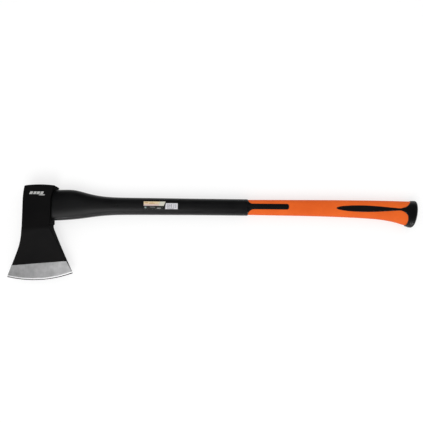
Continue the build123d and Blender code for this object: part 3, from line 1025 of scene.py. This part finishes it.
def build_barcode_label(film, ink):
    """White label with plain upright bars."""
    bars = []
    x, widths = 0.10, (0.012, 0.02, 0.012, 0.035, 0.012, 0.02, 0.045, 0.012, 0.02, 0.012, 0.03, 0.012)
    gaps = (0.018, 0.014, 0.03, 0.016, 0.02, 0.03, 0.05, 0.03, 0.018, 0.04, 0.03, 0.02)
    for width, gap in zip(widths, gaps):
        bars.append((x, x + width))
        x += width + gap * 1.9
    marks_x = [v for b in bars for v in b]

    def pick(u, y):
        if -3.9 < y < 4.6 and any(a < u < b for a, b in bars):
            return 1
        return 1 if -5.6 < y < -4.9 and 0.15 < u < 0.7 else 0

    return build_label(
        "barcode_label_skin",
        grid_lines(0.0, 1.0, [*marks_x, 0.15, 0.7], 0.05),
        grid_lines(*BARCODE_Y, (-5.6, -4.9, -3.9, 4.6), 0.8),
        lambda y: BARCODE_X[0] + (y - BARCODE_Y[0]) / (BARCODE_Y[1] - BARCODE_Y[0]) * BARCODE_LEAN,
        lambda y: BARCODE_X[1],
        pick,
        [film, ink],
    )


# ------------------------------------------------------------------ put it together
mark_ink = print_ink("cheek_mark", linear(176, 176, 174))
metals = [head_paint(), ground_steel(), honed_steel(), edge_nose_painted_shade(), sides_painted_shade(), mark_ink]
plastic, rubber = jacket_plastic(), grip_rubber()
fibre, resin, dam = glass_fibre(), bond_resin(), dam_rubber()
film = print_ink("label_film", linear(206, 204, 190))
cream = print_ink("label_cream", linear(216, 195, 156))
amber = print_ink("label_amber", linear(192, 154, 116))
blush = print_ink("label_blush", linear(204, 181, 176))
dark_ink = print_ink("label_dark", linear(30, 31, 29))
teal = print_ink("label_teal", linear(122, 138, 136))
grey = print_ink("label_grey", linear(128, 128, 128))
white_film = print_ink("white_label", linear(210, 209, 213), 0.5)
bar_ink = print_ink("bar_ink", linear(96, 94, 104), 0.5)

head = build_head(metals)
jacket = build_jacket(plastic)
sleeve = build_sleeve(rubber)
resin_plug = build_resin(resin)
product = build_product_label(film, cream, amber, blush, dark_ink, teal, grey)
barcode = build_barcode_label(white_film, bar_ink)

for piece, node, slot in (
    (head, "axe_head", "head_steel"),
    (jacket, "handle_jacket", "jacket_plastic"),
    (sleeve, "grip_sleeve", "grip_rubber"),
    (resin_plug, "eye_epoxy", "resin"),
    (product, "product_label", "printed_label"),
    (barcode, "barcode_label", "white_label"),
):
    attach(piece, "root")
    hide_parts(node)

for node, material, slot in (("core_rod", fibre, "glass_fibre"), ("resin_dam", dam, "dam_rubber")):
    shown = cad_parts[node]
    shown.data.materials.clear()
    shown.data.materials.append(material)
    shown.data.polygons.foreach_set("use_smooth", [True] * len(shown.data.polygons))
    shown.data.set_sharp_from_angle(angle=radians(30))


# ------------------------------------------------------------------ floor, light, camera
def stage_material():
    """A pale sheet lit softly from below, as a light table is, so shadows on it stay faint."""
    t = Tree("pale_floor")
    t.shader.inputs["Emission Color"].default_value = (1.0, 1.0, 1.0, 1.0)
    return t.set(
        colour=t.blend(t.spread(t.noise(2, 3), 0.0, 1.0), linear(160, 160, 160), linear(163, 163, 163)),
        roughness=0.9,
        specular=0.0,
        glow=0.64,
    )


floor_mesh = bpy.data.meshes.new("floor")
FLOOR_HALF = 14.0
corners = [(x * FLOOR_HALF, y * FLOOR_HALF, 0) for x, y in ((-1, -1), (1, -1), (1, 1), (-1, 1))]
floor_mesh.from_pydata(corners, [], [(0, 1, 2, 3)])
floor_mesh.materials.append(stage_material())
floor = bpy.data.objects.new("floor", floor_mesh)
bpy.context.scene.collection.objects.link(floor)
# The axe lies on the rim side of its cheek and on the knob, so the floor leans to meet both.
rest_head = place(100.0, 0.0, 0.0)
rest_knob = place(884.0, 0.0, MID - KNOB_HALF)
rise = (rest_knob.z - rest_head.z) / (rest_knob.x - rest_head.x)
floor.location = (0.0, 0.0, rest_head.z - rest_head.x * rise)
floor.rotation_euler = (0.0, -atan2(rise, 1.0), 0.0)


def area_light(name, at, target, size_x, size_y, power):
    """A rectangular light; at and target are in mm, the sizes in metres."""
    data = bpy.data.lights.new(name, "AREA")
    data.shape = "RECTANGLE"
    data.size, data.size_y = size_x, size_y
    data.energy = power
    light = bpy.data.objects.new(name, data)
    light.location = place(*at)
    light.rotation_mode = "QUATERNION"
    light.rotation_quaternion = (place(*at) - place(*target)).to_track_quat("Z", "Y")
    light.visible_camera = False
    bpy.context.scene.collection.objects.link(light)
    return light


# Three small lights only make reflections; the sky and the fill only light surfaces.
key = area_light("key", (-62, -650, 1530), (140, -60, 20), 0.47, 1.18, 4.7)
rim = area_light("rim", (-230, -1430, 690), (110, -30, 20), 0.42, 0.13, 4.0)
glint = area_light("glint", (1340, -1260, 900), (880, -35, 20), 0.28, 0.2, 5.0)
for light in (key, rim, glint):
    light.visible_diffuse = False
fill = area_light("fill", (200, -1520, 2180), (440, -10, 20), 1.4, 1.4, 26)
fill.visible_glossy = False
sky_data = bpy.data.lights.new("sky", "SUN")
sky_data.energy = 2.15
sky_data.angle = radians(130)
sky = bpy.data.objects.new("sky", sky_data)
sky.visible_camera = False
sky.visible_glossy = False
bpy.context.scene.collection.objects.link(sky)

# The world is bright near the horizon and almost dark overhead, so black surfaces stay black.
world = bpy.data.worlds.new("studio")
world.use_nodes = True
bpy.context.scene.world = world
nodes, links = world.node_tree.nodes, world.node_tree.links
coords = nodes.new("ShaderNodeTexCoord")
split = nodes.new("ShaderNodeSeparateXYZ")
ramp = nodes.new("ShaderNodeMapRange")
ramp.inputs["From Min"].default_value = 0.27
ramp.inputs["From Max"].default_value = 0.45
ramp.inputs["To Min"].default_value = 0.9
ramp.inputs["To Max"].default_value = 0.03
links.new(coords.outputs["Generated"], split.inputs["Vector"])
links.new(split.outputs["Z"], ramp.inputs["Value"])
links.new(ramp.outputs["Result"], nodes["Background"].inputs["Strength"])
nodes["Background"].inputs["Color"].default_value = (1.0, 1.0, 1.0, 1.0)

SCALE, DISTANCE, TILT, ROLL = 2.204, 1.45, radians(5.5), 0.0105
camera_data = bpy.data.cameras.new("camera")
camera_data.sensor_width = 36.0
camera_data.lens = 36.0 * (DISTANCE * 1000 / SCALE) / 423
camera_data.clip_start, camera_data.clip_end = 0.05, 60.0
camera = bpy.data.objects.new("camera", camera_data)
bpy.context.scene.collection.objects.link(camera)
target = place(444.6, -9.6, 24.0)
back = Vector((0.0, -sin(TILT), cos(TILT)))
right = Vector((1.0, 0.0, 0.0))
upward = back.cross(right)
turned = Matrix((right, upward, back)).transposed().to_4x4()
camera.matrix_world = Matrix.Translation(target + back * DISTANCE) @ turned @ Matrix.Rotation(ROLL, 4, "Z")
bpy.context.scene.camera = camera
bpy.context.scene.view_settings.view_transform = "Standard"
